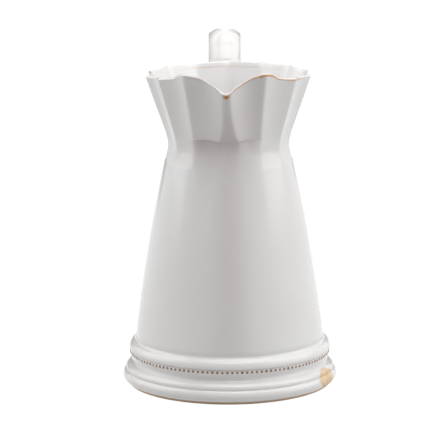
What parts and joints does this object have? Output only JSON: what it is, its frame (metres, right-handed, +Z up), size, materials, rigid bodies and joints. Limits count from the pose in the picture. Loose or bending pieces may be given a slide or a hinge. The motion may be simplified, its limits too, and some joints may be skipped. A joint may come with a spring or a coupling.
{
  "type": "ceramic pitcher",
  "caption": "White glazed ceramic pitcher with a cone-shaped body, beaded stepped foot, fluted flaring collar, V-shaped pouring lip and one strap handle.",
  "frame": {"origin": "centre of the foot ring on the standing plane", "axes": "+Z up, the pouring lip points to -Y and the handle to +Y, +X to the right seen from the pouring lip's side"},
  "size_m": [0.1508, 0.1886, 0.2387],
  "materials": {
    "white_glaze": "glossy milk-white glaze, slightly uneven, thinning to a tan line on sharp edges",
    "bead_glaze": "glossy white glaze broken to brown between and on top of the beads",
    "bare_clay": "matt unglazed tan earthenware"
  },
  "bodies": {
    "root": {"foot_ring": "bare_clay", "floor_disc": "white_glaze", "lower_foot_moulding": "white_glaze", "upper_foot_moulding": "white_glaze", "cove_band": "white_glaze", "bead_string": "bead_glaze", "upper_roll": "white_glaze", "body_wall": "white_glaze", "fluted_collar": "white_glaze", "pouring_spout": "white_glaze", "rim_lip": "white_glaze", "handle_strap": "white_glaze", "handle_upper_join": "white_glaze", "handle_lower_join": "white_glaze"}
  },
  "joints": []
}
